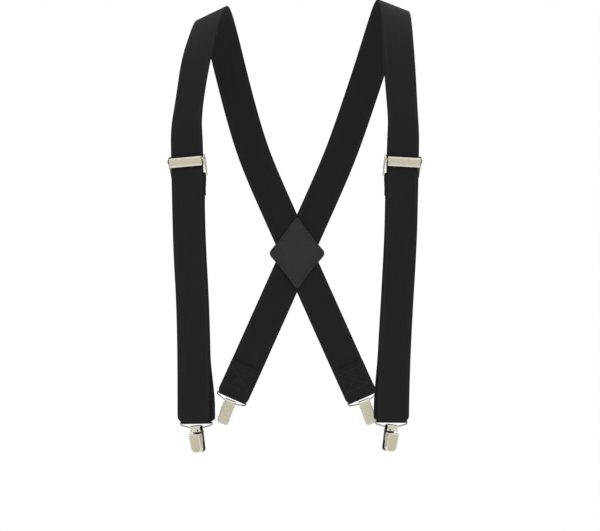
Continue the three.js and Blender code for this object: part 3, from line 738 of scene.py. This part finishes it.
def add_stitch(bm, a, b, normal):
    """One stitch from a to b: a short thread whose ends dive into the cloth."""
    along = b - a
    side = along.normalized().cross(normal).normalized()
    around = [side * cos(angle) + normal * sin(angle) for angle in ring_angles(8)]
    rows = []
    for share, rise, thick in STITCH:
        centre = a + along * share + normal * rise
        rows.append(add_row(bm, [(centre + reach * THREAD_R * thick) * MM for reach in around]))
    lofted(bm, rows)


def add_seam(bm, place, path, pitch=3.0, gap=0.45):
    """Stitches along a path in the surface's own coordinates. place gives a point and its normal."""
    for start, end in zip(path, path[1:]):
        length = math.dist(start, end)
        count = max(1, round(length / pitch))
        for i in range(count):
            shares = (i / count + gap / 2 / length, (i + 1) / count - gap / 2 / length)
            ends = [place(*(p + (q - p) * s for p, q in zip(start, end))) for s in shares]
            add_stitch(bm, ends[0][0], ends[1][0], ends[0][1])


# ---- materials
class Finish:
    """A Principled material whose nodes are added one by one."""

    def __init__(self, name):
        self.material = bpy.data.materials.new(name)
        self.material.use_nodes = True
        self.tree = self.material.node_tree
        self.shader = self.tree.nodes["Principled BSDF"]

    def node(self, kind, inputs=None, **settings):
        made = self.tree.nodes.new("ShaderNode" + kind)
        for key, value in settings.items():
            setattr(made, key, value)
        for key, value in (inputs or {}).items():
            self.put(made.inputs[key], value)
        return made

    def put(self, socket, value):
        if isinstance(value, bpy.types.NodeSocket):
            self.tree.links.new(value, socket)
        else:
            socket.default_value = value

    def math(self, operation, a, b=0.0, clamp=False):
        return self.node("Math", {0: a, 1: b}, operation=operation, use_clamp=clamp).outputs[0]

    def times(self, a, b):
        return self.math("MULTIPLY", a, b)

    def plus(self, a, b):
        return self.math("ADD", a, b)

    def ramp(self, value, low, high, to_low=0.0, to_high=1.0):
        return self.node("MapRange", {0: value, 1: low, 2: high, 3: to_low, 4: to_high}).outputs[0]

    def mix(self, share, a, b):
        return self.node("Mix", {0: share, 6: a, 7: b}, data_type="RGBA").outputs[2]

    def scaled(self, *scale):
        """The piece's own coordinates, multiplied by a scale on each axis."""
        coordinates = self.node("TexCoord").outputs["Object"]
        return self.node("Mapping", {"Vector": coordinates, "Scale": scale}).outputs[0]

    def noise(self, vector, scale, detail=3.0, roughness=0.55):
        inputs = {"Vector": vector, "Scale": scale, "Detail": detail, "Roughness": roughness}
        return self.node("TexNoise", inputs).outputs["Fac"]

    def set(self, **values):
        for key, value in values.items():
            self.put(self.shader.inputs[key.replace("_", " ")], value)

    def bump(self, height, distance, strength=1.0):
        made = self.node("Bump", {"Height": height, "Distance": distance, "Strength": strength})
        self.put(self.shader.inputs["Normal"], made.outputs[0])


RIB_PITCH = 1.15  # the weave's repeats, in millimetres
PICK_PITCH = 0.8
SELVEDGE_PITCH = 0.6


def webbing_finish():
    """Black knitted elastic: fine lengthwise ribs crossed by picks, between plain selvedges."""
    f = Finish("webbing")
    uv = f.node("UVMap", uv_map="web").outputs[0]
    split = f.node("SeparateXYZ", {0: uv})
    across = f.times(split.outputs[0], 1000.0)
    along = f.times(split.outputs[1], 1000.0)
    from_centre = f.math("ABSOLUTE", across)
    body = f.ramp(from_centre, 16.9, 16.4)
    wander = f.noise(f.scaled(1, 1, 1), 60.0, 2.0)
    rib_phase = f.times(across, 2 * pi / RIB_PITCH)
    rib = f.math("SINE", rib_phase)
    row = f.math("FLOOR", f.math("DIVIDE", across, RIB_PITCH))
    pick_phase = f.times(along, 2 * pi / PICK_PITCH)
    pick_phase = f.plus(pick_phase, f.times(row, pi))
    pick_phase = f.plus(pick_phase, f.times(wander, 3.0))
    pick = f.math("SINE", pick_phase)
    weave = f.plus(f.times(rib, 0.6), f.times(pick, 0.4))
    selvedge = f.math("SINE", f.times(along, 2 * pi / SELVEDGE_PITCH))
    selvedge = f.times(selvedge, 0.3)
    height = f.node("Mix", {0: body, 2: selvedge, 3: weave}, data_type="FLOAT").outputs[0]
    f.bump(height, 0.00012, 0.8)
    line_start = f.ramp(from_centre, 15.3, 15.7)
    line_end = f.ramp(from_centre, 16.4, 16.0)
    line = f.times(line_start, line_end)
    lengthwise = f.node("CombineXYZ", {0: across, 1: f.times(along, 0.02)}).outputs[0]
    streak = f.ramp(f.noise(lengthwise, 1.1, 3.0), 0.3, 0.7)
    tone = f.plus(f.times(pick, 0.16), f.times(streak, 0.32))
    tone = f.math("ADD", tone, f.times(line, 0.5), clamp=True)
    # Painted shade: the colour darkens over the rounded selvedges, towards each edge.
    tone = f.times(tone, f.ramp(from_centre, 17.0, 18.4, 1.0, 0.1))
    colour = f.mix(tone, (0.013, 0.013, 0.0135, 1), (0.0262, 0.0262, 0.0266, 1))
    f.set(Base_Color=colour, Roughness=f.ramp(pick, -1.0, 1.0, 0.78, 0.95), Metallic=0.0)
    f.set(Specular_IOR_Level=0.08)
    return f.material


def thread_finish():
    """Black twisted polyester thread."""
    f = Finish("thread")
    twist = f.node("TexWave", {"Vector": f.scaled(1, 1, 1), "Scale": 900.0, "Distortion": 1.0},
                   bands_direction="DIAGONAL").outputs["Fac"]
    f.bump(twist, 0.00004, 0.6)
    f.set(Base_Color=f.mix(twist, (0.012, 0.012, 0.013, 1), (0.03, 0.03, 0.031, 1)))
    f.set(Roughness=f.ramp(twist, 0.0, 1.0, 0.6, 0.45), Specular_IOR_Level=0.3)
    return f.material


def leather_finish():
    """Smooth black leather with a fine pebble grain."""
    f = Finish("leather")
    place = f.scaled(1000, 1000, 1000)
    warped = f.noise(place, 0.35, 2.0)
    shifted = f.node("VectorMath", {0: place, 1: f.node("CombineXYZ", {0: warped, 1: warped}).outputs[0]},
                     operation="ADD").outputs[0]
    cells = f.node("TexVoronoi", {"Vector": shifted, "Scale": 0.85}, feature="DISTANCE_TO_EDGE").outputs[0]
    grain = f.ramp(cells, 0.0, 0.28)
    pores = f.noise(place, 5.0, 2.0)
    height = f.plus(grain, f.times(pores, 0.35))
    f.bump(height, 0.00009, 0.9)
    broad = f.noise(place, 0.06, 2.0)
    colour = f.mix(f.times(grain, broad), (0.0055, 0.0052, 0.005, 1), (0.019, 0.0175, 0.0165, 1))
    f.set(Base_Color=colour, Roughness=f.ramp(grain, 0.0, 1.0, 0.62, 0.42), Specular_IOR_Level=0.4)
    return f.material


def metal_finish(name, colour, worn, stretch, roughness, polish_and_highlight=0.45):
    """Steel: a fine brushed grain, softly uneven polishing, worn edges brightened further as a painted
    highlight, and painted shade in recesses.
    """
    f = Finish(name)
    grain = f.noise(f.scaled(*(1000 * s for s in stretch)), 1.0, 4.0, 0.6)
    cloud = f.noise(f.scaled(1000, 1000, 1000), 0.22, 3.0)
    # Painted highlight, partly real wear: edges are lightened towards a pale colour, standing in for bright
    # rim reflections.
    edge = f.ramp(f.node("NewGeometry").outputs["Pointiness"], 0.502, 0.53)
    tone = f.math("ADD", f.times(grain, 0.35), f.times(cloud, 0.35), clamp=True)
    plating_and_highlight = f.mix(f.times(edge, polish_and_highlight), f.mix(tone, colour, worn), POLISH_AND_PAINTED_HIGHLIGHT)
    # Painted shade: the colour darkens towards a dark brown where ambient occlusion finds a recess.
    openness = f.node("AmbientOcclusion", {"Distance": 0.012}, samples=8).outputs["AO"]
    recess_painted_shade = f.ramp(openness, 0.4, 0.8, 1.0, 0.0)
    f.set(Base_Color=f.mix(recess_painted_shade, plating_and_highlight, RECESS_PAINTED_SHADE), Metallic=1.0)
    rough = f.math("ADD", f.ramp(grain, 0.3, 0.7, roughness - 0.06, roughness + 0.06),
                   f.times(f.math("SUBTRACT", cloud, edge), 0.08), clamp=True)
    f.set(Roughness=rough)
    f.bump(grain, 0.000012, 0.5)
    return f.material


def grip_finish():
    """Matte black moulded plastic."""
    f = Finish("grip_plastic")
    place = f.scaled(1000, 1000, 1000)
    texture = f.noise(place, 6.0, 3.0)
    f.bump(texture, 0.00004, 0.7)
    f.set(Base_Color=f.mix(f.noise(place, 0.5, 2.0), (0.012, 0.012, 0.012, 1), (0.028, 0.028, 0.029, 1)))
    f.set(Roughness=f.ramp(texture, 0.2, 0.8, 0.5, 0.72), Specular_IOR_Level=0.4)
    return f.material


NICKEL, NICKEL_WORN = (0.65, 0.6, 0.455, 1), (0.86, 0.82, 0.69, 1)
COVER_NICKEL, COVER_WORN = (0.485, 0.435, 0.31, 1), (0.72, 0.68, 0.56, 1)
# Painted shade: the wire's nickel is a much darker copy of the sheet's, standing in for dark surroundings
# reflected in it.
WIRE_NICKEL_PAINTED_SHADE, WIRE_WORN_PAINTED_SHADE = (0.28, 0.255, 0.205, 1), (0.54, 0.51, 0.44, 1)
SPRING_STEEL, SPRING_WORN = (0.36, 0.36, 0.36, 1), (0.6, 0.6, 0.6, 1)
# Dark brown of the painted shade in recesses.
RECESS_PAINTED_SHADE = (0.035, 0.028, 0.018, 1)
# The pale edge colour: partly real wear, partly a painted highlight.
POLISH_AND_PAINTED_HIGHLIGHT = (0.9, 0.87, 0.78, 1)
WEBBING = webbing_finish()
THREAD = thread_finish()
LEATHER = leather_finish()
# The hardware's materials, each with its slot in the record.
COVER = metal_finish("cover_nickel", COVER_NICKEL, COVER_WORN, (3, 0.15, 3), 0.3), "plated_sheet"
PLATE = metal_finish("sheet_nickel", NICKEL, NICKEL_WORN, (0.15, 3, 3), 0.28), "plated_sheet"
# The wire's darker colour is painted shade.
WIRE = metal_finish("wire_nickel_painted_shade", WIRE_NICKEL_PAINTED_SHADE, WIRE_WORN_PAINTED_SHADE, (0.4, 2, 2), 0.2, 0.0), "plated_wire"
SPRING = metal_finish("spring_steel", SPRING_STEEL, SPRING_WORN, (0.4, 2, 2), 0.32, 0.1), "plated_wire"
GRIP = grip_finish(), "grip_pad"


# ---- placing
def place_piece(name, mesh, body, material, slot, replaces=(), matrix=None):
    mesh.materials.clear()
    mesh.materials.append(material)
    piece = bpy.data.objects.new(name, mesh)
    SCENE.collection.objects.link(piece)
    if matrix is not None:
        piece.matrix_world = matrix
    if body:
        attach(piece, body)
    if replaces:
        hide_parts(*replaces)
    return piece


def joined(name, parts):
    """One mesh, in metres, from parts in millimetres."""
    bm = bmesh.new()
    for part in parts:
        bm.from_mesh(part)
    bmesh.ops.scale(bm, vec=(MM, MM, MM), verts=bm.verts)
    return finished_mesh(name, bm)


def in_metres(seat):
    matrix = seat.copy()
    matrix.translation = seat.translation * MM
    return matrix


# ---- straps
ABOVE_FOLD = (0.11, 0.14, 0.18, 0.22)  # spline values between a front fold and the even steps
EVEN_START = 0.26
TOP_OF_CLOTH = 0.7  # height of the web's face over its mid-plane, where stitches lie


def fold_turn(strip, seat, across_sign, start, end):
    """The web's half turn round a bail."""
    across, up, normal = axes_of(seat)
    strip.add_turn(seat.translation, normal, -up, across * across_sign, FOLD_R, start, end, TURN_STEPS)


def make_strap(side):
    """One web from its front fold over the shoulder to the rear fold and the sewn tail."""
    last = last_value(side)
    strip = Strip()
    front_fold = TURN_STEPS // 2
    fold_turn(strip, clip_seat(side, "front"), -1, 180, 0)
    strip.add_run(side, spread(0.006, FOLD_END, 12), skew=lambda u: SKEW[side] / 2 * near_fold(u))
    strip.add_run(side, [*ABOVE_FOLD, *spread(EVEN_START, last - EVEN_START, 10 * (last - 1))])
    strip.add_run(side, spread(last - 0.2, last - 0.02, 8))
    rear_fold = len(strip.frames) + TURN_STEPS // 2
    fold_turn(strip, clip_seat(side, "rear"), 1, 0, 180)
    tail_end = value_before_rear(side, SEWN_TAIL)
    closed = -WEB_THICK - 2 * GAP

    def offset(u):
        return -2 * FOLD_R + (closed + 2 * FOLD_R) * eased_step(last - u, 0, (last - tail_end) / 2)

    strip.add_run(side, spread(last - 0.02, tail_end, 24), offset=offset, facing=-1)
    strip.measure()
    folds = [strip.distance[front_fold], strip.distance[rear_fold]]
    name = f"{side}_strap_web"
    piece = place_piece(name, web_mesh(name, strip, folds), "root", WEBBING, "webbing", [f"{side}_strap"])
    bm = bmesh.new()
    half, near, far = 14.0, 14.0, 37.0  # of the sewn box and cross, from the rear fold
    box_path = [(near, -half), (near, half), (far, half), (far, -half), (near, -half), (far, half)]
    for sign in (-1, 1):
        def on_web(x, u, sign=sign):
            return strip.at(folds[1] + sign * x, u * -sign, TOP_OF_CLOTH)
        add_seam(bm, on_web, box_path)
        add_seam(bm, on_web, [(far, -half), (near, half)])
    name = f"{side}_strap_rear_stitches"
    stitches = place_piece(name, finished_mesh(name, bm), "root", THREAD, "webbing")


def make_return_layer(side):
    """The second layer behind the front web, from its fold up to the adjuster's bar and round it."""
    seat = adjuster_seat(side)
    _, up, normal = axes_of(seat)
    centre = seat @ Vector((0, BAR["v"], BAR["n"]))
    radius = BAR["r"] + GAP + WEB_THICK / 2
    reach = BAR["n"] + radius
    top = value_at_height(side, centre.z - 3)
    place, _, _, inner = station(side, top)
    aside = (centre - place).dot(inner)

    def offset(u):
        return -2 * FOLD_R + (2 * FOLD_R + reach) * eased_step(u, 0.06, 2)

    def skew(u):
        shift = SKEW[side] * (1 - near_fold(u) / 2) * (1 - eased_step(u, 0.25, 1.1))
        return shift + aside * eased_step(u, top - 1, top)

    strip = Strip()
    values = [*spread(0.004, FOLD_END, 12), *ABOVE_FOLD, *spread(EVEN_START, top, 76)]
    strip.add_run(side, values, offset=offset, skew=skew)
    strip.add_turn(centre, normal, up, normal.cross(up), radius, 15, 165, 14)
    loop_end = len(strip.frames) - 1
    tail_end = value_at_height(side, ADJUSTER_HEIGHT + BAR["v"] - LOOP_TAIL)
    far = BAR["n"] - radius
    closed = reach - WEB_THICK - GAP

    def back(u):
        return far + (closed - far) * eased_step(top - u, 0, 0.65 * (top - tail_end))

    strip.add_run(side, spread(top, tail_end, 12), offset=back, skew=lambda u: aside, facing=-1)
    strip.measure()
    name = f"{side}_return_web"
    lead = FOLD_R * pi / 2  # from the fold's bottom to the layer's start
    piece = place_piece(name, web_mesh(name, strip, [0.0], lead), None, WEBBING, "webbing",
                        [f"{side}_return_layer"])
    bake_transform(piece)
    bm = bmesh.new()
    half = 16.0
    from_loop = strip.distance[loop_end]
    for row in (12.5, 16.0):
        add_seam(bm, lambda d, u: strip.at(from_loop + d, u, TOP_OF_CLOTH), [(row, -half), (row, half)])
    name = f"{side}_adjuster_stitches"
    stitches = place_piece(name, finished_mesh(name, bm), f"{side}_adjuster", THREAD, "webbing")


# ---- crosspatch
def crosspatch_outline():
    """A diamond with scooped sides and rounded tips, as (u, v)."""
    half_width, half_height = CROSSPATCH["half_width"], CROSSPATCH["half_height"]
    tips = [Vector(p) for p in ((half_width, 0), (0, half_height), (-half_width, 0), (0, -half_height))]
    along = CROSSPATCH["tip_round"] / (tips[0] - tips[1]).length

    def curve(a, b, c, steps):
        return [a * (1 - t) ** 2 + b * 2 * t * (1 - t) + c * t * t for t in spread(0, 1, steps)[:-1]]

    points = []
    for i, tip in enumerate(tips):
        following, after = tips[(i + 1) % 4], tips[(i + 2) % 4]
        middle = (tip + following) * CROSSPATCH["scoop"]
        start, end = tip.lerp(following, along), following.lerp(tip, along)
        points += curve(start, middle, end, 14)
        points += curve(end, following, following.lerp(after, along), 6)
    return points


def crosspatch_seat():
    normal = Vector((0, cos(CROSSING_SLOPE), -sin(CROSSING_SLOPE)))
    up = Vector((0, sin(CROSSING_SLOPE), cos(CROSSING_SLOPE)))
    return seat_matrix(CROSSING, up.cross(normal), up, normal)


def leaf_height(sign, u, v):
    """Height of a leaf's inner face over the mid-plane: it rises over the strap just under it."""
    run = Vector((-sign * CROSSING_RUN[0], CROSSING_RUN[1])).normalized()
    beside = abs(u * run.y - v * run.x) - WEB_WIDTH / 2
    return 0.2 + 1.9 * (1 - eased_step(beside, 0.6, 7.0))


def make_leaf(name, sign):
    """One leather leaf of the crosspatch, and the stitches round it in a shallow groove."""
    outline = crosspatch_outline()
    thick, edge, swell, seam_in = CROSSPATCH["thick"], 0.5, 0.08, 3.0
    size = 36.0  # a point this far out is drawn in by exactly the inset
    middle = (8, 14, 22, 30)
    inner_face = [(inset, 0) for inset in (*middle[::-1], 4)]
    corner = edge * 0.3
    rim = [(edge, 0), (corner, corner), (0, edge), (0, thick - edge), (corner, thick - corner)]
    groove = [(edge, thick), (1.6, thick + 0.02), (2.4, thick - 0.12), (seam_in, thick - 0.2)]
    groove += [(3.6, thick - 0.12), (4.6, thick + 0.05)]
    outer_face = [(inset, thick + swell) for inset in middle]
    bm = bmesh.new()
    rows = []
    for inset, rise in inner_face + rim + groove + outer_face:
        row = []
        for p in outline:
            u, v = p * (1 - inset / size)
            row.append((u, v, sign * (leaf_height(sign, u, v) + rise)))
        rows.append(add_row(bm, row))
    lofted(bm, rows)
    seat = crosspatch_seat()
    mesh = joined(name, [shaped(bm)])
    place_piece(f"{name}_leather", mesh, "root", LEATHER, "leather", [name], in_metres(seat))
    seam = [p * (1 - seam_in / size) for p in outline]
    total, pitch = 0.0, 2.9
    corners = [seam[0]]
    for a, b in zip(seam, seam[1:] + seam[:1]):
        total += (b - a).length
        if total >= pitch:
            corners.append(b)
            total = 0.0
    if (corners[-1] - corners[0]).length < pitch / 2:
        corners.pop()
    bm = bmesh.new()

    def on_leaf(u, v):
        at = Vector((u, v, sign * (leaf_height(sign, u, v) + thick - 0.14)))
        return seat @ at, seat.to_3x3() @ Vector((0, 0, sign))

    for a, b in zip(corners, corners[1:] + corners[:1]):
        a, b = a.lerp(b, 0.08), b.lerp(a, 0.08)
        (start, normal), (end, _) = on_leaf(*a), on_leaf(*b)
        add_stitch(bm, start, end, normal)
    place_piece(f"{name}_stitches", finished_mesh(name, bm), "root", THREAD, "leather")


# ---- assembly
def make_hardware():
    """Each stamped or bent part is made once, and every clip and adjuster gets a copy."""
    cover_pin = [turned_bar(COVER_PIN, domed(BODY_HALF + 0.4, COVER_PIN["r"]))]
    jaw_pin = [turned_bar(JAW_PIN, domed(EAR_HALF + 0.5, JAW_PIN["r"]))]
    # Each part's meshes, the body that it rides on and its finish.
    clip_parts = {
        "bail": (bail_parts(), "bail", WIRE),
        "base": (base_parts(), "base", PLATE),
        "cover": (cover_parts(), "cover", COVER),
        "cover_pin": (cover_pin, "base", WIRE),
        "jaw": (jaw_parts(), "jaw", PLATE),
        "jaw_pin": (jaw_pin, "base", WIRE),
        "base_pad": (pad_parts(*BASE_PAD), "base", GRIP),
        "jaw_pad": (pad_parts(*JAW_PAD), "jaw", GRIP),
        "spring": (spring_parts(), "base", SPRING),
    }
    meshes = {part: joined(part, made[0]) for part, made in clip_parts.items()}
    opposite = {"left": "right", "right": "left"}
    for side in SIDES:
        for end in ("front", "rear"):
            clip = f"{end}_{side if end == 'front' else opposite[side]}_clip"
            seat = clip_seat(side, end)
            body = body_seat(seat)
            for part, (_, rides, finish) in clip_parts.items():
                node = f"{clip}_{part}"
                matrix = in_metres(seat if part == "bail" else body)
                place_piece(f"{node}_fine", meshes[part].copy(), f"{clip}_{rides}", *finish, [node], matrix)
    adjuster_parts = {
        "frame": (adjuster_frame_parts(), "adjuster", PLATE),
        "lever": (lever_parts(), "adjuster_lever", PLATE),
        "plus_rivet": (rivet_parts(1), "adjuster", WIRE),
        "minus_rivet": (rivet_parts(-1), "adjuster", WIRE),
    }
    meshes = {part: joined(part, made[0]) for part, made in adjuster_parts.items()}
    inner = {"left": "plus_rivet", "right": "minus_rivet"}
    for side in SIDES:
        matrix = in_metres(adjuster_seat(side))
        for part, (_, rides, finish) in adjuster_parts.items():
            which = "inner_rivet" if part == inner[side] else "outer_rivet"
            node = f"{side}_adjuster_{which if part.endswith('rivet') else part}"
            place_piece(f"{node}_fine", meshes[part].copy(), f"{side}_{rides}", *finish, [node], matrix)


for side in SIDES:
    make_strap(side)
    make_return_layer(side)
make_leaf("crosspatch_outer", 1)
make_leaf("crosspatch_inner", -1)
make_hardware()

# ---- floor, light and sky
FLOOR_Z = -1.2
FLOOR_HALF = 5.8
floor_corners = [(x * FLOOR_HALF, y * FLOOR_HALF, FLOOR_Z) for x, y in ((-1, -1), (1, -1), (1, 1), (-1, 1))]
floor_mesh = bpy.data.meshes.new("floor")
floor_mesh.from_pydata(floor_corners, [], [(0, 1, 2, 3)])
floor_finish = Finish("floor_paint")
floor_finish.set(Base_Color=(0.82, 0.82, 0.81, 1), Roughness=0.7, Specular_IOR_Level=0.2)
floor_mesh.materials.append(floor_finish.material)
floor = bpy.data.objects.new("floor", floor_mesh)
SCENE.collection.objects.link(floor)


def add_light(name, location, target, size, power):
    """A square soft box that faces its target."""
    data = bpy.data.lights.new(name, "AREA")
    data.size = size
    data.energy = power
    light = bpy.data.objects.new(name, data)
    SCENE.collection.objects.link(light)
    light.location = location
    aim = Vector(target) - Vector(location)
    light.rotation_euler = aim.to_track_quat("-Z", "Y").to_euler()


CENTRE = (0, 0, -0.25)
add_light("key", (-0.3, -2.6, 1.6), CENTRE, 1.2, 13)
add_light("back", (0.6, 2.6, 1.8), CENTRE, 1.6, 21)

# The sky brightens upwards by the sine of the elevation, and the camera sees it as plain white.
SKY_SINE = (-0.45, 0.45)
SKY_STRENGTH = (0.12, 1.13)
world = bpy.data.worlds.new("studio")
SCENE.world = world
world.use_nodes = True
sky = world.node_tree
background = sky.nodes["Background"]
direction = sky.nodes.new("ShaderNodeTexCoord").outputs["Generated"]
split = sky.nodes.new("ShaderNodeSeparateXYZ")
sky.links.new(direction, split.inputs[0])
height = sky.nodes.new("ShaderNodeMapRange")
sky.links.new(split.outputs[2], height.inputs[0])
for index, value in enumerate(SKY_SINE + SKY_STRENGTH, start=1):
    height.inputs[index].default_value = value
seen = sky.nodes.new("ShaderNodeLightPath")
brightness = sky.nodes.new("ShaderNodeMix")
sky.links.new(seen.outputs["Is Camera Ray"], brightness.inputs[0])
sky.links.new(height.outputs[0], brightness.inputs[2])
brightness.inputs[3].default_value = 1.0
sky.links.new(brightness.outputs[0], background.inputs["Strength"])
background.inputs["Color"].default_value = (1, 1, 1, 1)
SCENE.view_settings.view_transform = "Standard"

bpy.context.view_layer.update()
